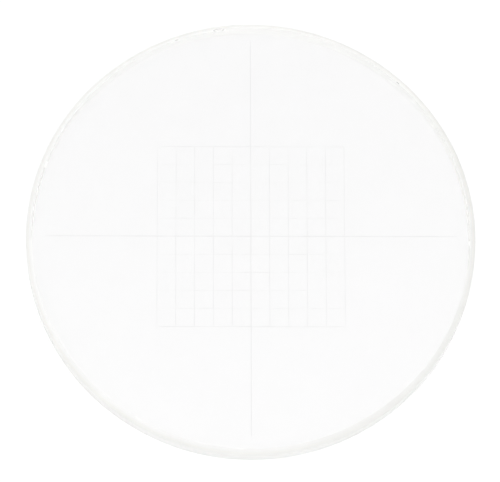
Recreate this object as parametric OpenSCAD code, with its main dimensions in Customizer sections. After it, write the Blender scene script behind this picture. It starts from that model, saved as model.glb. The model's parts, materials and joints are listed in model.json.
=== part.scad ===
// Eyepiece counting graticule: a round glass disc that carries a square net of fine
// lines and two long crosslines. The lines are a metal film on a base disc. A thin
// cover disc is cemented over them, and the stack is ground and bevelled as one piece.
// Origin: centre of the lower face. +Z runs out of the upper face.

/* [Glass discs] */
// Diameter of the ground rim
disc_d = 24; // [18:0.5:30]
// Thickness of the base disc, which the lines lie on
base_t = 1.31; // [0.8:0.01:3]
// Thickness of the cover disc, which protects the lines
cover_t = 0.17; // [0.1:0.01:0.6]

/* [Ground bevels] */
// Width of each bevel, seen from above
bevel_w = 0.3; // [0.1:0.01:0.5]
// Height of each bevel, seen from the side
bevel_h = 0.3; // [0.1:0.01:0.38]

/* [Lines] */
// Thickness of the metal film that the lines are made of
film_t = 0.01; // [0.005:0.001:0.03]
// Thickness of the cement between the film and the cover disc
cement_over = 0.01; // [0.005:0.001:0.05]
// Width of the net's inner lines
net_line_w = 0.03; // [0.01:0.002:0.1]
// Width of the net's outer frame
border_w = 0.03; // [0.01:0.002:0.1]
// Width of the two crosslines
cross_w = 0.03; // [0.01:0.002:0.1]

/* [Net] */
// Number of squares along each side of the net, always even
squares = 10; // [2:2:14]
// Side of one square, from line centre to line centre
pitch = 1; // [0.4:0.05:1.1]

/* [Crosslines] */
// Clear glass between each end of a crossline and the upper bevel
cross_margin = 0.7; // [0.2:0.05:2]

/* [Hidden] */
$fn = 180;

// Heights of the stack
cement_t = film_t + cement_over;
cement_z = base_t;
cover_z = cement_z + cement_t;
stack_t = cover_z + cover_t;

// Radii
rim_r = disc_d / 2;
face_r = rim_r - bevel_w;

// Lines
cross_len = 2 * (face_r - cross_margin);
net_side = squares * pitch;
inner_half = squares / 2 - 1;
line_steps = [for (i = [-inner_half : inner_half]) if (i != 0) i * pitch];

// Colours
glass_colour = [0.93, 0.95, 0.94, 0.45];
cement_colour = [0.97, 0.96, 0.9, 0.35];
film_colour = [0.72, 0.73, 0.74];

// Outline of the whole stack: polished faces, ground rim, a bevel at each edge
module ground_blank() {
    rotate_extrude()
        polygon([
            [0, 0],
            [face_r, 0],
            [rim_r, bevel_h],
            [rim_r, stack_t - bevel_h],
            [face_r, stack_t],
            [0, stack_t],
        ]);
}

// The part of the ground blank that lies from z up to z + t
module blank_layer(z, t) {
    intersection() {
        ground_blank();
        translate([0, 0, z])
            cylinder(r = rim_r + bevel_w, h = t);
    }
}

// Flat outlines of the lines
module upright_bar(x, w, length) {
    translate([x, 0])
        square([w, length], center = true);
}

module level_bar(y, w, length) {
    translate([0, y])
        square([length, w], center = true);
}

module cross_upright() {
    upright_bar(0, cross_w, cross_len);
}

module cross_level() {
    level_bar(0, cross_w, cross_len);
}

module frame_outline() {
    difference() {
        square(net_side + border_w, center = true);
        square(net_side - border_w, center = true);
    }
}

module column_bars() {
    for (x = line_steps)
        upright_bar(x, net_line_w, net_side - border_w);
}

module row_bars() {
    for (y = line_steps)
        level_bar(y, net_line_w, net_side - border_w);
}

// A flat outline laid on the base disc as film
module film() {
    translate([0, 0, cement_z])
        linear_extrude(height = film_t)
            children();
}

// Main glass disc
module base_disc() {
    color(glass_colour)
        blank_layer(0, base_t);
}

// Clear cement that fills the space round and over the film
module cement_layer() {
    color(cement_colour)
        difference() {
            blank_layer(cement_z, cement_t);
            film() {
                cross_upright();
                cross_level();
                frame_outline();
                column_bars();
                row_bars();
            }
        }
}

// Thin glass disc over the lines
module cover_disc() {
    color(glass_colour)
        blank_layer(cover_z, cover_t);
}

// Long centre line along Y, in one length
module crossline_vertical() {
    color(film_colour)
        film()
            cross_upright();
}

// Long centre line along X, in two lengths that meet the upright one
module crossline_horizontal() {
    color(film_colour)
        film()
            difference() {
                cross_level();
                cross_upright();
            }
}

// Outer frame of the net, which the crosslines pass through
module net_border() {
    color(film_colour)
        film()
            difference() {
                frame_outline();
                cross_upright();
                cross_level();
            }
}

// Inner lines of the net along Y, which the level crossline passes through
module net_columns() {
    color(film_colour)
        film()
            difference() {
                column_bars();
                cross_level();
            }
}

// Inner lines of the net along X, each in short lengths from column to column
module net_rows() {
    color(film_colour)
        film()
            difference() {
                row_bars();
                column_bars();
                cross_upright();
            }
}

base_disc();
cement_layer();
cover_disc();
crossline_vertical();
crossline_horizontal();
net_border();
net_columns();
net_rows();
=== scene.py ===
"""Eyepiece counting graticule: two cemented glass discs with a ruled net of film sealed between them."""
import json
import logging
import math
import random
from collections.abc import Sequence
from dataclasses import dataclass, field
from enum import Enum

import bmesh
import bpy
from mathutils import Matrix, Vector, noise


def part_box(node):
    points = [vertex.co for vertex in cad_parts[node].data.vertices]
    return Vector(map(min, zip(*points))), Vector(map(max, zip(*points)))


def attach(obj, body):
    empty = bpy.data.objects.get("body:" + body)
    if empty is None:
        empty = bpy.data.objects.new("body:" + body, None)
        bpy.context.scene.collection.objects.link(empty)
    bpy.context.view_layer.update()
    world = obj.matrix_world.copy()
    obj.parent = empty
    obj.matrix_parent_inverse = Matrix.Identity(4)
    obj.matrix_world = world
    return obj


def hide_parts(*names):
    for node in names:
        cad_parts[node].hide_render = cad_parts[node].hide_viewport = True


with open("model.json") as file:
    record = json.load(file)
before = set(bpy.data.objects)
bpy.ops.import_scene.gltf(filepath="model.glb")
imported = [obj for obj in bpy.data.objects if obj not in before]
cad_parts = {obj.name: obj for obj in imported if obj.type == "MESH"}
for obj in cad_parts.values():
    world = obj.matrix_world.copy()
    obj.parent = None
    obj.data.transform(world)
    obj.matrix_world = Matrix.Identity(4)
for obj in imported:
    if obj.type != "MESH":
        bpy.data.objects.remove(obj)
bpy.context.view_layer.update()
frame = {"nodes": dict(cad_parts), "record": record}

MM = 0.001
BODY = "root"
IMAGE_WIDTH = 500
Colour = tuple[float, float, float]
Stretch = tuple[float, float, float]
Span = tuple[float, float]
LOG = logging.getLogger("graticule")


# ---------------------------------------------------------------------------
# Node trees
# ---------------------------------------------------------------------------


class Value:
    """A number worked out by a node tree. Its operators add Math nodes."""

    def __init__(self, graph: "Graph", socket: bpy.types.NodeSocket) -> None:
        """Wraps one output socket.

        Args:
            graph: The tree that the socket belongs to.
            socket: The output that holds the number.
        """
        self.graph = graph
        self.socket = socket

    def maths(self, operation: str, *terms: "Value | float") -> "Value":
        """Adds one Math node.

        Args:
            operation: The node's operation.
            terms: Its inputs, in order.

        Returns:
            The node's result.
        """
        node = self.graph.node("ShaderNodeMath", {"operation": operation}, dict(enumerate(terms)))
        return Value(self.graph, node.outputs[0])

    def __add__(self, other: "Value | float") -> "Value":
        """Adds a number."""
        return self.maths("ADD", self, other)

    def __radd__(self, other: float) -> "Value":
        """Adds this to a number."""
        return self.maths("ADD", other, self)

    def __sub__(self, other: "Value | float") -> "Value":
        """Takes a number away."""
        return self.maths("SUBTRACT", self, other)

    def __rsub__(self, other: float) -> "Value":
        """Takes this away from a number."""
        return self.maths("SUBTRACT", other, self)

    def __mul__(self, other: "Value | float") -> "Value":
        """Multiplies by a number."""
        return self.maths("MULTIPLY", self, other)

    def __rmul__(self, other: float) -> "Value":
        """Multiplies a number by this."""
        return self.maths("MULTIPLY", other, self)

    def __truediv__(self, other: "Value | float") -> "Value":
        """Divides by a number."""
        return self.maths("DIVIDE", self, other)

    def __rtruediv__(self, other: float) -> "Value":
        """Divides a number by this."""
        return self.maths("DIVIDE", other, self)

    def __mod__(self, other: "Value | float") -> "Value":
        """Gives what a division leaves over."""
        return self.maths("MODULO", self, other)

    def __abs__(self) -> "Value":
        """Drops the sign."""
        return self.maths("ABSOLUTE", self)

    def root(self) -> "Value":
        """Takes the square root."""
        return self.maths("SQRT", self)

    def floor(self) -> "Value":
        """Rounds down."""
        return self.maths("FLOOR", self)

    def matches(self, other: "Value | float") -> "Value":
        """Gives 1 where this is within a quarter of a number, and 0 elsewhere."""
        return self.maths("COMPARE", self, other, 0.25)

    def ramp(self, low: float, high: float) -> "Value":
        """Rises smoothly from 0 at one number to 1 at another.

        Args:
            low: Where the rise starts.
            high: Where it ends.

        Returns:
            The share of the rise.
        """
        node = self.graph.node(
            "ShaderNodeMapRange",
            {"interpolation_type": "SMOOTHSTEP"},
            {"Value": self, "From Min": low, "From Max": high},
        )
        return Value(self.graph, node.outputs[0])


class Graph:
    """A node tree that is being built."""

    def __init__(self, tree: bpy.types.NodeTree) -> None:
        """Empties a tree, ready to be filled.

        Args:
            tree: The tree.
        """
        self.tree = tree
        tree.nodes.clear()

    def node(
        self,
        kind: str,
        settings: dict[str, object] | None = None,
        inputs: dict[int | str, object] | None = None,
    ) -> bpy.types.Node:
        """Adds one node of any type.

        Args:
            kind: The node's type.
            settings: Its properties, which are set before its inputs.
            inputs: A value, a link or a plain number for each input, by its name or its place.

        Returns:
            The new node.
        """
        made = self.tree.nodes.new(kind)
        for name, setting in (settings or {}).items():
            setattr(made, name, setting)
        for key, given in (inputs or {}).items():
            source = given.socket if isinstance(given, Value) else given
            if isinstance(source, bpy.types.NodeSocket):
                self.tree.links.new(source, made.inputs[key])
            else:
                made.inputs[key].default_value = source
        return made

    def value(self, kind: str, settings: dict[str, object], inputs: dict[int | str, object]) -> Value:
        """Adds a node and takes its first output as a number."""
        return Value(self, self.node(kind, settings, inputs).outputs[0])

    def vector(self, x: Value | float, y: Value | float, z: Value | float) -> bpy.types.NodeSocket:
        """Joins three numbers into a vector."""
        return self.node("ShaderNodeCombineXYZ", {}, {"X": x, "Y": y, "Z": z}).outputs[0]

    def axes(self, vector: bpy.types.NodeSocket) -> tuple[Value, Value, Value]:
        """Splits a vector into its three numbers."""
        parts = self.node("ShaderNodeSeparateXYZ", {}, {0: vector})
        return tuple(Value(self, part) for part in parts.outputs)

    def blend(self, share: Value, low: Colour, high: Colour) -> bpy.types.NodeSocket:
        """Mixes two colours.

        Args:
            share: 0 gives the first colour, and 1 the second.
            low: The first colour.
            high: The second colour.

        Returns:
            The mixed colour.
        """
        mix = self.node("ShaderNodeMix", {"data_type": "RGBA"}, {0: share, 6: (*low, 1.0), 7: (*high, 1.0)})
        return mix.outputs[2]


class SurfaceGraph(Graph):
    """The node tree of a material."""

    def __init__(self, name: str) -> None:
        """Makes a material with an empty tree.

        Args:
            name: The material's name.
        """
        self.material = bpy.data.materials.new(name)
        self.material.use_nodes = True
        super().__init__(self.material.node_tree)
        self.place = self.node("ShaderNodeTexCoord").outputs["Object"]

    def noise(self, size: float, detail: float, stretch: Stretch = (1.0, 1.0, 1.0)) -> Value:
        """A cloudy pattern fixed to the piece.

        Args:
            size: The width of one cloud, in metres.
            detail: The number of finer layers in it.
            stretch: How many times finer it is along each axis.

        Returns:
            The pattern, from 0 to 1.
        """
        scaled = self.node("ShaderNodeMapping", {}, {"Vector": self.place, "Scale": stretch})
        inputs = {"Vector": scaled.outputs[0], "Scale": 1.0 / size, "Detail": detail}
        return self.value("ShaderNodeTexNoise", {}, inputs)

    def bump(self, height: Value, depth: float, strength: float) -> bpy.types.NodeSocket:
        """Turns a pattern into relief.

        Args:
            height: The pattern.
            depth: The relief from 0 to 1 of the pattern, in metres.
            strength: The share of the relief that shows.

        Returns:
            The surface normal.
        """
        inputs = {"Height": height, "Distance": depth, "Strength": strength}
        return self.node("ShaderNodeBump", {}, inputs).outputs[0]

    def finish(self, inputs: dict[int | str, object]) -> bpy.types.Material:
        """Closes the tree with a surface shader.

        Args:
            inputs: The shader's inputs.

        Returns:
            The material.
        """
        shader = self.node("ShaderNodeBsdfPrincipled", {}, inputs)
        self.node("ShaderNodeOutputMaterial", {}, {"Surface": shader.outputs[0]})
        return self.material


# ---------------------------------------------------------------------------
# Finishes
# ---------------------------------------------------------------------------


@dataclass(frozen=True)
class PolishedGlass:
    """A clear optical face with the faint marks that wiping leaves."""

    tint: Colour = (0.922, 0.921, 0.922)
    index: float = 1.517
    haze: float = 0.03
    wipe_size: float = 2.5 * MM
    wipe_stretch: Stretch = (1.0, 3.0, 1.0)
    wipe_contrast: Span = (0.5, 0.75)

    def material(self) -> bpy.types.Material:
        """Builds the material."""
        graph = SurfaceGraph("polished_glass")
        wipes = graph.noise(self.wipe_size, 4.0, self.wipe_stretch).ramp(*self.wipe_contrast)
        return graph.finish({
            "Base Color": (*self.tint, 1.0),
            "Roughness": wipes * self.haze,
            "IOR": self.index,
            "Transmission Weight": 1.0,
        })


@dataclass(frozen=True)
class GroundGlass:
    """A fine-ground edge: frosted glass with wheel marks round the rim and a little cloudiness.

    Its tone runs from deep to pale. Painted light and shade make it paler at the rear and deeper on the
    right, and can deepen it from the inner radius to the outer one. The clouds, wheel marks and grit are the
    glass's own tone.
    """

    name: str
    pale: Colour
    deep: Colour
    smoothest: float
    roughest: float
    inner: float
    outer: float
    outward_deeper: float = 0.0
    index: float = 1.517
    clear_share: float = 1.0
    contrast: Span = (0.3, 0.7)
    cloud_size: float = 2.4 * MM
    cloud_share: float = 0.16
    grit_size: float = 0.03 * MM
    grit_share: float = 0.06
    grit_height: float = 0.6
    mark_size: float = 0.9 * MM
    mark_stretch: Stretch = (1.0, 1.0, 26.0)
    mark_share: float = 0.12
    mark_height: float = 0.4
    relief: float = 0.003 * MM
    relief_strength: float = 0.7
    middle_tone: float = 0.33
    rear_paler: float = 0.25
    right_deeper: float = 0.24
    sides_deeper: float = 0.12

    def material(self) -> bpy.types.Material:
        """Builds the material."""
        graph = SurfaceGraph(self.name)
        clouds = graph.noise(self.cloud_size, 3.0).ramp(*self.contrast)
        marks = graph.noise(self.mark_size, 3.0, self.mark_stretch).ramp(*self.contrast)
        grit = graph.noise(self.grit_size, 2.0)
        x, y, _ = graph.axes(graph.place)
        right, rear = x / self.outer, y / self.outer
        outward = (x * x + y * y).root().ramp(self.inner, self.outer)
        # Painted light and shade: paler at the rear, deeper on the right and on both sides, deeper towards
        # the outer radius.
        painted_light_and_shade = rear * self.rear_paler - right * self.right_deeper
        painted_light_and_shade += (rear * rear - right * right) * self.sides_deeper
        painted_light_and_shade += (0.5 - outward) * self.outward_deeper
        # The glass's own cloudy, marked and gritty tone is added on top of the painted light and shade.
        tone_and_painted_shade = painted_light_and_shade + self.middle_tone + clouds * self.cloud_share + marks * self.mark_share
        tone_and_painted_shade += grit * self.grit_share
        height = grit * self.grit_height + marks * self.mark_height
        return graph.finish({
            "Base Color": graph.blend(tone_and_painted_shade, self.deep, self.pale),
            "Roughness": marks * (self.roughest - self.smoothest) + self.smoothest,
            "IOR": self.index,
            "Transmission Weight": self.clear_share,
            "Normal": graph.bump(height, self.relief, self.relief_strength),
        })


@dataclass(frozen=True)
class BrokenGlass:
    """The clean, rippled surface that a small flake leaves."""

    tint: Colour = (0.97, 0.97, 0.96)
    index: float = 1.517
    smoothest: float = 0.04
    ripple_size: float = 0.05 * MM
    ripple_haze: float = 0.1
    relief: float = 0.004 * MM
    relief_strength: float = 0.5

    def material(self) -> bpy.types.Material:
        """Builds the material."""
        graph = SurfaceGraph("broken_glass")
        ripples = graph.noise(self.ripple_size, 1.0)
        return graph.finish({
            "Base Color": (*self.tint, 1.0),
            "Roughness": ripples * self.ripple_haze + self.smoothest,
            "IOR": self.index,
            "Transmission Weight": 1.0,
            "Normal": graph.bump(ripples, self.relief, self.relief_strength),
        })


@dataclass(frozen=True)
class CementedFace:
    """A face wetted by cement. Glass and cement bend light alike, so nothing shows there."""

    def material(self) -> bpy.types.Material:
        """Builds the material."""
        graph = SurfaceGraph("cemented_face")
        return graph.finish({"Alpha": 0.0})


@dataclass(frozen=True)
class CementSeam:
    """The thin cured edge of the cement, ground through with the glass."""

    tint: Colour = (0.87, 0.85, 0.78)
    index: float = 1.5
    clear_share: float = 0.9
    smoothest: float = 0.38
    bead_size: float = 0.4 * MM
    bead_haze: float = 0.2

    def material(self) -> bpy.types.Material:
        """Builds the material."""
        graph = SurfaceGraph("cement_seam")
        beads = graph.noise(self.bead_size, 2.0)
        return graph.finish({
            "Base Color": (*self.tint, 1.0),
            "Roughness": beads * self.bead_haze + self.smoothest,
            "IOR": self.index,
            "Transmission Weight": self.clear_share,
        })


@dataclass(frozen=True)
class LineFilm:
    """Bright metal film, a little duller in patches where it was laid thinner."""

    name: str
    bright: float
    dull: float
    roughest: float = 0.45
    patch_size: float = 0.5 * MM
    patch_contrast: Span = (0.3, 0.7)
    patch_polish: float = 0.15

    def material(self) -> bpy.types.Material:
        """Builds the material."""
        graph = SurfaceGraph(self.name)
        patches = graph.noise(self.patch_size, 3.0).ramp(*self.patch_contrast)
        return graph.finish({
            "Base Color": graph.blend(patches, (self.dull,) * 3, (self.bright,) * 3),
            "Metallic": 1.0,
            "Roughness": self.roughest - patches * self.patch_polish,
        })


@dataclass(frozen=True)
class LightTable:
    """The plain pale table that the disc lies on, lit a little from below and more so at the front."""

    paint: float = 0.35
    front_glow: float = 0.698
    rear_glow: float = 0.67
    fade: float = 13.0 * MM

    def material(self) -> bpy.types.Material:
        """Builds the material."""
        graph = SurfaceGraph("light_table")
        _, y, _ = graph.axes(graph.place)
        rearward = y.ramp(-self.fade, self.fade)
        return graph.finish({
            "Base Color": (self.paint, self.paint, self.paint, 1.0),
            "Roughness": 1.0,
            "Specular IOR Level": 0.0,
            "Emission Color": graph.blend(rearward, (self.front_glow,) * 3, (self.rear_glow,) * 3),
            "Emission Strength": 1.0,
        })


# ---------------------------------------------------------------------------
# Glass and cement
# ---------------------------------------------------------------------------


class Zone(Enum):
    """What a surface of the stack is. The number is its finish's place on each glass piece.

    The foot is the lower bevel, which shows through the glass.
    """

    POLISHED = 0
    BEVEL = 1
    WALL = 2
    CEMENTED = 3
    BROKEN = 4
    FOOT = 5


@dataclass(frozen=True)
class StackSizes:
    """The sizes of the ground stack, in metres."""

    rim_radius: float
    face_radius: float
    bevel_height: float
    height: float
    base_top: float
    cover_low: float

    @classmethod
    def from_frame(cls) -> "StackSizes":
        """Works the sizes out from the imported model.

        Returns:
            The sizes.
        """
        base_low, base_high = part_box("base_disc")
        cover_low, cover_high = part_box("cover_disc")
        rim_radius = min(base_high.x, base_high.y, -base_low.x, -base_low.y)
        cover_radius = min(cover_high.x, cover_high.y, -cover_low.x, -cover_low.y)
        height = cover_high.z
        rim_mount = next(mount for mount in frame["record"]["mounts"] if mount["name"] == "rim")
        bevel_height = (height - rim_mount["dims"]["length_mm"] * MM) / 2
        risen = cover_low.z - (height - bevel_height)
        bevel_width = (rim_radius - cover_radius) * bevel_height / risen
        return cls(rim_radius, rim_radius - bevel_width, bevel_height, height, base_high.z, cover_low.z)

    def bevel_radius(self, height: float) -> float:
        """The stack's radius at a height on its upper bevel, in metres."""
        risen = (height - (self.height - self.bevel_height)) / self.bevel_height
        return self.rim_radius - risen * (self.rim_radius - self.face_radius)


@dataclass(frozen=True)
class Corner:
    """A corner of a disc's outline, and the surface that leads on from it."""

    radius: float
    height: float
    arris: float
    onward: Zone
    flaked: bool = False


@dataclass(frozen=True)
class Flake:
    """A small shell-shaped chip out of a corner."""

    angle: float
    width: float
    depth: float

    def bite(self, angle: float, radius: float) -> float:
        """How deep the chip is at a place on the rim.

        Args:
            angle: The place, in radians.
            radius: The rim's radius, in metres.

        Returns:
            The depth as a share of the chip's own, 0 outside it.
        """
        apart = (angle - self.angle + math.pi) % math.tau - math.pi
        across = 2.0 * apart * radius / self.width
        return math.sqrt(max(0.0, 1.0 - across * across))


@dataclass
class GlassDisc:
    """One glass disc of the stack, turned from its outline."""

    name: str
    lower: Zone
    corners: Sequence[Corner]
    flakes: Sequence[Flake]
    finishes: Sequence[bpy.types.Material]
    steps: int = 1440
    arris_points: int = 6
    raggedness: float = 0.45
    ragged_pitch: float = 0.5 * MM
    corner_spacing: float = 7.0
    hollowing: float = 1.35
    broken_from: float = 0.05

    def rounded(self, index: int, angle: float) -> list[Vector]:
        """The points that round one corner off at one angle.

        Args:
            index: The corner's place in the outline.
            angle: The angle round the disc, in radians.

        Returns:
            The points in order, as radius and height.
        """
        corner = self.corners[index]
        tip = Vector((corner.radius, corner.height))
        if corner.arris == 0:
            return [tip]
        axis = Vector((0.0, corner.height))
        before = self.tip(index - 1) if index else axis
        after = self.tip(index + 1) if index < len(self.corners) - 1 else axis
        turn = Vector((math.cos(angle), math.sin(angle), 0)) * corner.radius / self.ragged_pitch
        rough = noise.noise(turn + Vector((0, 0, self.corner_spacing * index)))
        reach = corner.arris * (1.0 + self.raggedness * rough)
        hollow = 0.0
        if corner.flaked:
            for flake in self.flakes:
                bite = flake.bite(angle, corner.radius)
                reach = max(reach, flake.depth * bite)
                hollow = max(hollow, bite)
        back = tip + (before - tip).normalized() * reach
        ahead = tip + (after - tip).normalized() * reach
        pull = tip.lerp((back + ahead) / 2, self.hollowing * hollow)
        points = []
        for step in range(self.arris_points):
            share = step / (self.arris_points - 1)
            points.append(back.lerp(pull, share).lerp(pull.lerp(ahead, share), share))
        return points

    def tip(self, index: int) -> Vector:
        """A corner's own point, as radius and height."""
        return Vector((self.corners[index].radius, self.corners[index].height))

    def zones(self, angle: float) -> list[Zone]:
        """The surface of each band of faces at one angle, from the lower face to the upper one.

        Args:
            angle: The angle round the disc, in radians.

        Returns:
            One zone for each band between two rings of points.
        """
        bands = []
        for corner in self.corners:
            bites = (flake.bite(angle, corner.radius) for flake in self.flakes)
            broken = corner.flaked and any(bite > self.broken_from for bite in bites)
            if corner.arris:
                bands += [Zone.BROKEN if broken else Zone.BEVEL] * (self.arris_points - 1)
            bands.append(corner.onward)
        return bands[:-1]

    def build(self) -> bpy.types.Object:
        """Turns the outline into a closed mesh.

        Returns:
            The disc.
        """
        shape = bmesh.new()
        rings = []
        for step in range(self.steps):
            angle = math.tau * step / self.steps
            outline = [point for index in range(len(self.corners)) for point in self.rounded(index, angle)]
            across, along = math.cos(angle), math.sin(angle)
            rings.append([shape.verts.new((p.x * across, p.x * along, p.y)) for p in outline])
        for step, ring in enumerate(rings):
            following = rings[(step + 1) % self.steps]
            for band, zone in enumerate(self.zones(math.tau * (step + 0.5) / self.steps)):
                corners = (ring[band], following[band], following[band + 1], ring[band + 1])
                face = shape.faces.new(corners)
                face.smooth = True
                face.material_index = zone.value
        flats = (
            ([ring[0] for ring in reversed(rings)], self.lower),
            ([ring[-1] for ring in rings], self.corners[-1].onward),
        )
        for edge_points, zone in flats:
            face = shape.faces.new(edge_points)
            face.smooth = True
            face.material_index = zone.value
            for edge in face.edges:
                edge.smooth = False
        return piece_from(shape, self.name, self.finishes)


@dataclass
class CementLayer:
    """The cured cement, with a pocket for every length of film."""

    name: str
    sizes: StackSizes
    finishes: Sequence[bpy.types.Material]
    weld: float = 0.0001 * MM
    seam_share: float = 0.97
    level_from: float = 0.9
    cuts: int = 12

    def build(self) -> bpy.types.Object:
        """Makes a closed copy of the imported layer, with its edge turned anew as round as the glass.

        Returns:
            The layer.
        """
        shape = bmesh.new()
        shape.from_mesh(frame["nodes"]["cement_layer"].data)
        bmesh.ops.remove_doubles(shape, verts=shape.verts, dist=self.weld)
        shape.normal_update()
        edge_radius = self.seam_share * self.sizes.rim_radius
        sides = [
            face
            for face in shape.faces
            if face.calc_center_median().xy.length > edge_radius and abs(face.normal.z) < self.level_from
        ]
        bmesh.ops.delete(shape, geom=sides, context="FACES")
        for face in shape.faces:
            face.material_index = 1
        open_edges = [edge for edge in shape.edges if edge.is_boundary]
        bmesh.ops.subdivide_edges(shape, edges=open_edges, cuts=self.cuts)
        for vertex in shape.verts:
            across = vertex.co.xy.length
            if across > edge_radius:
                reach = self.sizes.bevel_radius(vertex.co.z) / across
                vertex.co.x *= reach
                vertex.co.y *= reach
        open_edges = [edge for edge in shape.edges if edge.is_boundary]
        for face in bmesh.ops.bridge_loops(shape, edges=open_edges)["faces"]:
            face.material_index = 0
            face.smooth = True
        bmesh.ops.recalc_face_normals(shape, faces=shape.faces)
        for edge in shape.edges:
            kinds = {face.material_index for face in edge.link_faces}
            edge.smooth = len(kinds) == 1
        return piece_from(shape, self.name, self.finishes)


@dataclass
class GlassStack:
    """The two discs and the cement between them."""

    sizes: StackSizes
    arris: float = 0.016 * MM
    chip: Flake = Flake(math.radians(98.5), 0.6 * MM, 0.13 * MM)
    small_flakes: int = 9
    flake_widths_mm: Span = (0.12, 0.3)
    flake_depth_shares: Span = (0.09, 0.17)
    draw: random.Random = field(default_factory=lambda: random.Random(24))

    def scattered_flakes(self) -> list[Flake]:
        """Small chips at random places.

        Returns:
            The chips.
        """
        chips = []
        for _ in range(self.small_flakes):
            angle = self.draw.uniform(0.0, math.tau)
            width = self.draw.uniform(*self.flake_widths_mm) * MM
            chips.append(Flake(angle, width, width * self.draw.uniform(*self.flake_depth_shares)))
        return chips

    def build(self) -> None:
        """Builds, dresses and places the three pieces."""
        s = self.sizes
        rim = {"inner": s.face_radius, "outer": s.rim_radius}
        # Bevel, wall and foot are one ground glass; their different pale and deep tones are painted light
        # and shade:
        # the wall is painted paler, and the foot, seen through the glass, is painted paler than the upper
        # bevel.
        bevel = {"pale": (0.985, 0.985, 0.965), "smoothest": 0.35, "roughest": 0.5, **rim}
        wall = {"pale": (1.0, 1.0, 0.985), "smoothest": 0.42, "roughest": 0.6, **rim}
        glass = [
            PolishedGlass().material(),
            GroundGlass("ground_bevel", deep=(0.74, 0.74, 0.71), outward_deeper=0.5, **bevel).material(),
            GroundGlass("ground_wall", deep=(0.95, 0.95, 0.93), **wall).material(),
            CementedFace().material(),
            BrokenGlass().material(),
            GroundGlass("ground_foot", deep=(0.86, 0.86, 0.83), **bevel).material(),
        ]
        cement = [CementSeam().material(), glass[Zone.CEMENTED.value]]
        base = GlassDisc(
            "base_disc_glass",
            Zone.POLISHED,
            [
                Corner(s.face_radius, 0.0, self.arris, Zone.FOOT, flaked=True),
                Corner(s.rim_radius, s.bevel_height, self.arris, Zone.WALL),
                Corner(s.rim_radius, s.height - s.bevel_height, self.arris, Zone.BEVEL),
                Corner(s.bevel_radius(s.base_top), s.base_top, 0.0, Zone.CEMENTED),
            ],
            self.scattered_flakes(),
            glass,
        )
        cover = GlassDisc(
            "cover_disc_glass",
            Zone.CEMENTED,
            [
                Corner(s.bevel_radius(s.cover_low), s.cover_low, 0.0, Zone.BEVEL),
                Corner(s.face_radius, s.height, self.arris, Zone.POLISHED, flaked=True),
            ],
            [self.chip, *self.scattered_flakes()],
            glass,
        )
        place(base.build(), "disc_glass", "base_disc")
        place(CementLayer("cement_layer_cured", s, cement).build(), "optical_cement", "cement_layer")
        place(cover.build(), "disc_glass", "cover_disc")


# ---------------------------------------------------------------------------
# Ruled lines
# ---------------------------------------------------------------------------


class Direction(Enum):
    """Which way a line runs. The value is the tree's Upright input."""

    LEVEL = False
    UPRIGHT = True


@dataclass(frozen=True)
class Runs:
    """A set of equal lines, each cut into equal runs."""

    direction: Direction
    runs: int
    run_step: float
    lines: int
    line_step: float
    width: float
    end_gap: float = 0.0
    middle_gap: float = 0.0
    inner_gap: float = 0.0
    skip_middle: bool = False


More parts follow.
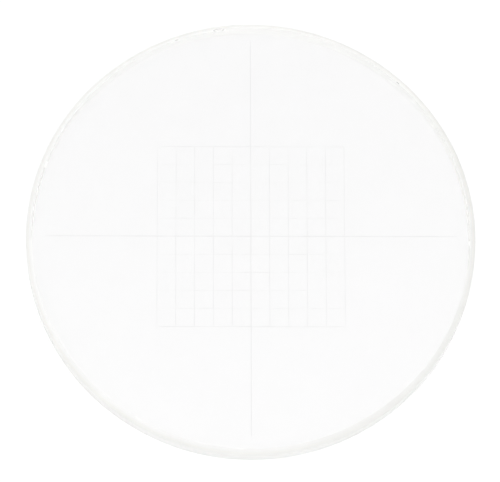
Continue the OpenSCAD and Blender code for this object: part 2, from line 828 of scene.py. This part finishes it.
class RuledTree:
    """The Geometry Nodes tree that lays a set of lines as film."""

    HALF = 0.5
    SHOULDER_FROM = 0.3
    SHOULDER_DROP = 0.4
    POINTS_ACROSS = 6

    SOCKETS = {
        "Upright": "NodeSocketBool",
        "Runs": "NodeSocketInt",
        "Run Step": "NodeSocketFloat",
        "Lines": "NodeSocketInt",
        "Line Step": "NodeSocketFloat",
        "Skip Middle": "NodeSocketBool",
        "Width": "NodeSocketFloat",
        "End Gap": "NodeSocketFloat",
        "Middle Gap": "NodeSocketFloat",
        "Inner Gap": "NodeSocketFloat",
        "Thickness": "NodeSocketFloat",
        "Foot": "NodeSocketFloat",
        "Film": "NodeSocketMaterial",
    }

    def __init__(self) -> None:
        """Builds the tree."""
        tree = bpy.data.node_groups.new("ruled_film", "GeometryNodeTree")
        self.keys = {}
        for name, kind in self.SOCKETS.items():
            socket = tree.interface.new_socket(name, in_out="INPUT", socket_type=kind)
            self.keys[name] = socket.identifier
        tree.interface.new_socket("Geometry", in_out="OUTPUT", socket_type="NodeSocketGeometry")
        self.graph = Graph(tree)
        given = self.graph.node("NodeGroupInput").outputs
        self.given = {name: Value(self.graph, given[name]) for name in self.SOCKETS}
        self.fill()

    def gap(self, end: Value) -> Value:
        """The clear space that a run leaves at one end.

        Args:
            end: The number of the line that the run meets there.

        Returns:
            The space, in metres.
        """
        given = self.given
        runs = given["Runs"]
        inside = 1.0 - end.matches(0.0) - end.matches(runs)
        middle = end.matches(runs / 2.0)
        from_end = (given["Inner Gap"] - given["End Gap"]) * inside
        return given["End Gap"] + from_end + (given["Middle Gap"] - given["Inner Gap"]) * middle

    def bar(self) -> bpy.types.NodeSocket:
        """A film of unit size with sloping shoulders along its two long sides."""
        graph = self.graph
        block = graph.node("GeometryNodeMeshCube", {}, {"Vertices X": self.POINTS_ACROSS})
        x, y, z = graph.axes(graph.node("GeometryNodeInputPosition").outputs[0])
        slope = abs(x).ramp(self.SHOULDER_FROM, self.HALF) * z.ramp(0.0, self.HALF) * self.SHOULDER_DROP
        shaped = graph.vector(x, y, z - slope)
        inputs = {"Geometry": block.outputs[0], "Position": shaped}
        return graph.node("GeometryNodeSetPosition", {}, inputs).outputs[0]

    def fill(self) -> None:
        """Lays one bar for each run of each line."""
        graph, given = self.graph, self.given
        index = graph.value("GeometryNodeInputIndex", {}, {})
        run = index % given["Runs"]
        line = ((index + 0.5) / given["Runs"]).floor()
        before, after = self.gap(run), self.gap(run + 1.0)
        middle_line = (given["Lines"] - 1.0) / 2.0
        along = (run + 0.5 - given["Runs"] / 2.0) * given["Run Step"] + (before - after) / 2.0
        across = (line - middle_line) * given["Line Step"]
        upright = given["Upright"]
        level = 1.0 - upright
        seat = graph.vector(
            across * upright + along * level,
            along * upright + across * level,
            given["Foot"] + given["Thickness"] / 2.0,
        )
        size = graph.vector(given["Width"], given["Run Step"] - before - after, given["Thickness"])
        count = given["Runs"] * given["Lines"]
        points = graph.node("GeometryNodeMeshLine", {}, {"Count": count})
        seated = graph.node("GeometryNodeSetPosition", {}, {"Geometry": points.outputs[0], "Position": seat})
        laid = graph.node("GeometryNodeInstanceOnPoints", {}, {
            "Points": seated.outputs[0],
            "Selection": 1.0 - given["Skip Middle"] * line.matches(middle_line),
            "Instance": self.bar(),
            "Rotation": graph.vector(0.0, 0.0, level * (math.pi / 2)),
            "Scale": size,
        })
        real = graph.node("GeometryNodeRealizeInstances", {}, {0: laid.outputs[0]})
        dressed = graph.node("GeometryNodeSetMaterial", {}, {0: real.outputs[0], "Material": given["Film"]})
        graph.node("NodeGroupOutput", {}, {0: dressed.outputs[0]})

    def lay(self, runs: Runs, foot: float, thickness: float, film: bpy.types.Material) -> bpy.types.Mesh:
        """Runs the tree and keeps the result as a plain mesh.

        Args:
            runs: The lines to lay.
            foot: The height that the film lies at, in metres.
            thickness: The film's thickness, in metres.
            film: The film's material.

        Returns:
            The lines' mesh.
        """
        host = bpy.data.objects.new("ruling", bpy.data.meshes.new("ruling"))
        bpy.context.scene.collection.objects.link(host)
        modifier = host.modifiers.new("ruling", "NODES")
        modifier.node_group = self.graph.tree
        settings = {
            "Upright": runs.direction.value,
            "Runs": runs.runs,
            "Run Step": runs.run_step,
            "Lines": runs.lines,
            "Line Step": runs.line_step,
            "Skip Middle": runs.skip_middle,
            "Width": runs.width,
            "End Gap": runs.end_gap,
            "Middle Gap": runs.middle_gap,
            "Inner Gap": runs.inner_gap,
            "Thickness": thickness,
            "Foot": foot,
            "Film": film,
        }
        for name, setting in settings.items():
            modifier[self.keys[name]] = setting
        depsgraph = bpy.context.evaluated_depsgraph_get()
        mesh = bpy.data.meshes.new_from_object(host.evaluated_get(depsgraph), depsgraph=depsgraph)
        host.modifiers.clear()
        bpy.data.objects.remove(host)
        return mesh


@dataclass
class LinePattern:
    """The net and the two crosslines, laid on the base disc inside their pockets in the cement."""

    clearance: float = 0.001 * MM
    cross_tones: Span = (0.865, 0.785)
    column_tones: Span = (0.9, 0.82)
    row_tones: Span = (0.945, 0.865)

    def build(self) -> None:
        """Lays, dresses and places the five line pieces."""
        low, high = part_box("crossline_vertical")
        cross_width, cross_length = high.x - low.x, high.y - low.y
        net_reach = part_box("net_border")[1].x
        inner_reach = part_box("net_rows")[1].x
        column_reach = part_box("net_columns")[1].x
        half_side = (net_reach + inner_reach) / 2
        squares = 2 * round(half_side / (half_side - column_reach))
        pitch = 2 * half_side / squares
        spare = self.clearance
        cross = cross_width - 2 * spare
        border = net_reach - inner_reach - 2 * spare
        fine = 2 * (column_reach - half_side + pitch) - 2 * spare
        at_cross = cross_width / 2 + spare
        at_border = border / 2 + 2 * spare
        at_fine = fine / 2 + 2 * spare
        level, upright = Direction.LEVEL, Direction.UPRIGHT
        side, inner = 2 * half_side, squares - 1
        pieces = {
            "crossline_vertical": [Runs(upright, 1, cross_length, 1, 0.0, cross, spare)],
            "crossline_horizontal": [Runs(level, 2, cross_length / 2, 1, 0.0, cross, spare, at_cross)],
            "net_border": [
                Runs(upright, 2, half_side, 2, side, border, -border / 2, at_cross),
                Runs(level, 2, half_side, 2, side, border, border / 2, at_cross),
            ],
            "net_columns": [
                Runs(upright, 2, half_side, inner, pitch, fine, at_border, at_cross, skip_middle=True),
            ],
            "net_rows": [
                Runs(level, squares, pitch, inner, pitch, fine, at_border, at_cross, at_fine, True),
            ],
        }
        tree = RuledTree()
        cross_film = LineFilm("cross_film", *self.cross_tones).material()
        column_film = LineFilm("column_film", *self.column_tones).material()
        row_film = LineFilm("row_film", *self.row_tones).material()
        films = {
            "crossline_vertical": cross_film,
            "crossline_horizontal": cross_film,
            "net_border": column_film,
            "net_columns": column_film,
            "net_rows": row_film,
        }
        thickness = high.z - low.z - 2 * spare
        for node, sets in pieces.items():
            film = films[node]
            shape = bmesh.new()
            for runs in sets:
                shape.from_mesh(tree.lay(runs, low.z + spare, thickness, film))
            for face in shape.faces:
                face.material_index = 0
            place(piece_from(shape, node + "_film", [film]), "line_film", node)


# ---------------------------------------------------------------------------
# Pieces
# ---------------------------------------------------------------------------


def piece_from(
    shape: bmesh.types.BMesh,
    name: str,
    finishes: Sequence[bpy.types.Material],
) -> bpy.types.Object:
    """Turns a built shape into an object of the scene.

    Args:
        shape: The shape, in metres and in place. It is freed.
        name: The object's name.
        finishes: Its materials, in the order of its faces' material numbers.

    Returns:
        The object.
    """
    mesh = bpy.data.meshes.new(name)
    shape.to_mesh(mesh)
    shape.free()
    for finish in finishes:
        mesh.materials.append(finish)
    piece = bpy.data.objects.new(name, mesh)
    bpy.context.scene.collection.objects.link(piece)
    return piece


def place(piece: bpy.types.Object, slot: str, node: str) -> None:
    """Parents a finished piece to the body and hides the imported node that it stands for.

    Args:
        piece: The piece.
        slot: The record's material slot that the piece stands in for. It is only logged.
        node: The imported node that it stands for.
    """
    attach(piece, BODY)
    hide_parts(node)
    faces = len(piece.data.polygons)
    LOG.info("%s: %d faces, stands for %s, finish %s", piece.name, faces, node, slot)


# ---------------------------------------------------------------------------
# Studio
# ---------------------------------------------------------------------------


@dataclass(frozen=True)
class Sky:
    """The soft light round the set, as the brightness of each part of it."""

    zenith: float = 1.15
    horizon: float = 0.8
    left_gain: float = 0.05
    below: float = 1.07
    rise: Span = (-0.1, 0.9)
    skyline: Span = (-0.02, 0.0)

    def build(self) -> None:
        """Builds the world."""
        world = bpy.data.worlds.new("soft_room")
        bpy.context.scene.world = world
        world.use_nodes = True
        graph = Graph(world.node_tree)
        x, _, z = graph.axes(graph.node("ShaderNodeTexCoord").outputs["Generated"])
        height = z.ramp(*self.rise)
        room = self.horizon + height * (self.zenith - self.horizon) - x * self.left_gain
        floor_share = 1.0 - z.ramp(*self.skyline)
        glow = room * (1.0 - floor_share) + self.below * floor_share
        back = graph.node("ShaderNodeBackground", {}, {"Color": (1.0, 1.0, 1.0, 1.0), "Strength": glow})
        graph.node("ShaderNodeOutputWorld", {}, {"Surface": back.outputs[0]})


@dataclass(frozen=True)
class Studio:
    """Floor, light and camera."""

    tilt: float = math.radians(16.4)
    swing: float = math.radians(3.2)
    distance: float = 235.0 * MM
    scale: float = 18.71 / MM
    aim: tuple[float, float, float] = (-0.04 * MM, -0.08 * MM, 0.75 * MM)
    floor_size: float = 2400.0 * MM
    floor_gap: float = 0.005 * MM

    def camera(self) -> None:
        """Sets the camera over the near edge of the disc, square to the net."""
        lean = math.sin(self.tilt)
        back = Vector((-math.sin(self.swing) * lean, -math.cos(self.swing) * lean, math.cos(self.tilt)))
        level = (Vector((1, 0, 0)) - back * back.x).normalized()
        upright = (Vector((0, 1, 0)) - back * back.y).normalized()
        right = (level + upright.cross(back)).normalized()
        up = back.cross(right)
        data = bpy.data.cameras.new("camera")
        data.lens = self.scale * self.distance * data.sensor_width / IMAGE_WIDTH
        data.clip_start = 10.0 * MM
        camera = bpy.data.objects.new("camera", data)
        turn = Matrix((right, up, back)).transposed().to_4x4()
        camera.matrix_world = Matrix.Translation(Vector(self.aim) + back * self.distance) @ turn
        bpy.context.scene.collection.objects.link(camera)
        bpy.context.scene.camera = camera

    def floor(self) -> None:
        """Lays the light table under the disc."""
        half = self.floor_size / 2
        shape = bmesh.new()
        reach = ((-half, -half), (half, -half), (half, half), (-half, half))
        shape.faces.new([shape.verts.new((x, y, -self.floor_gap)) for x, y in reach])
        piece_from(shape, "floor", [LightTable().material()])

    def build(self) -> None:
        """Builds the set and sets how the picture is developed."""
        Sky().build()
        self.floor()
        self.camera()
        scene = bpy.context.scene
        scene.view_settings.view_transform = "Standard"
        scene.cycles.blur_glossy = 0.0
        scene.cycles.max_bounces = 48
        scene.cycles.diffuse_bounces = 8
        scene.cycles.glossy_bounces = 24
        scene.cycles.transmission_bounces = 24
        scene.cycles.transparent_max_bounces = 96
        LOG.info("studio: floor %.1f m wide, camera %.0f mm away", self.floor_size, self.distance / MM)


def main() -> None:
    """Builds the graticule and its set."""
    logging.basicConfig(level=logging.INFO, format="%(name)s: %(message)s")
    Studio().build()
    GlassStack(StackSizes.from_frame()).build()
    LinePattern().build()


if __name__ == "__main__":
    main()
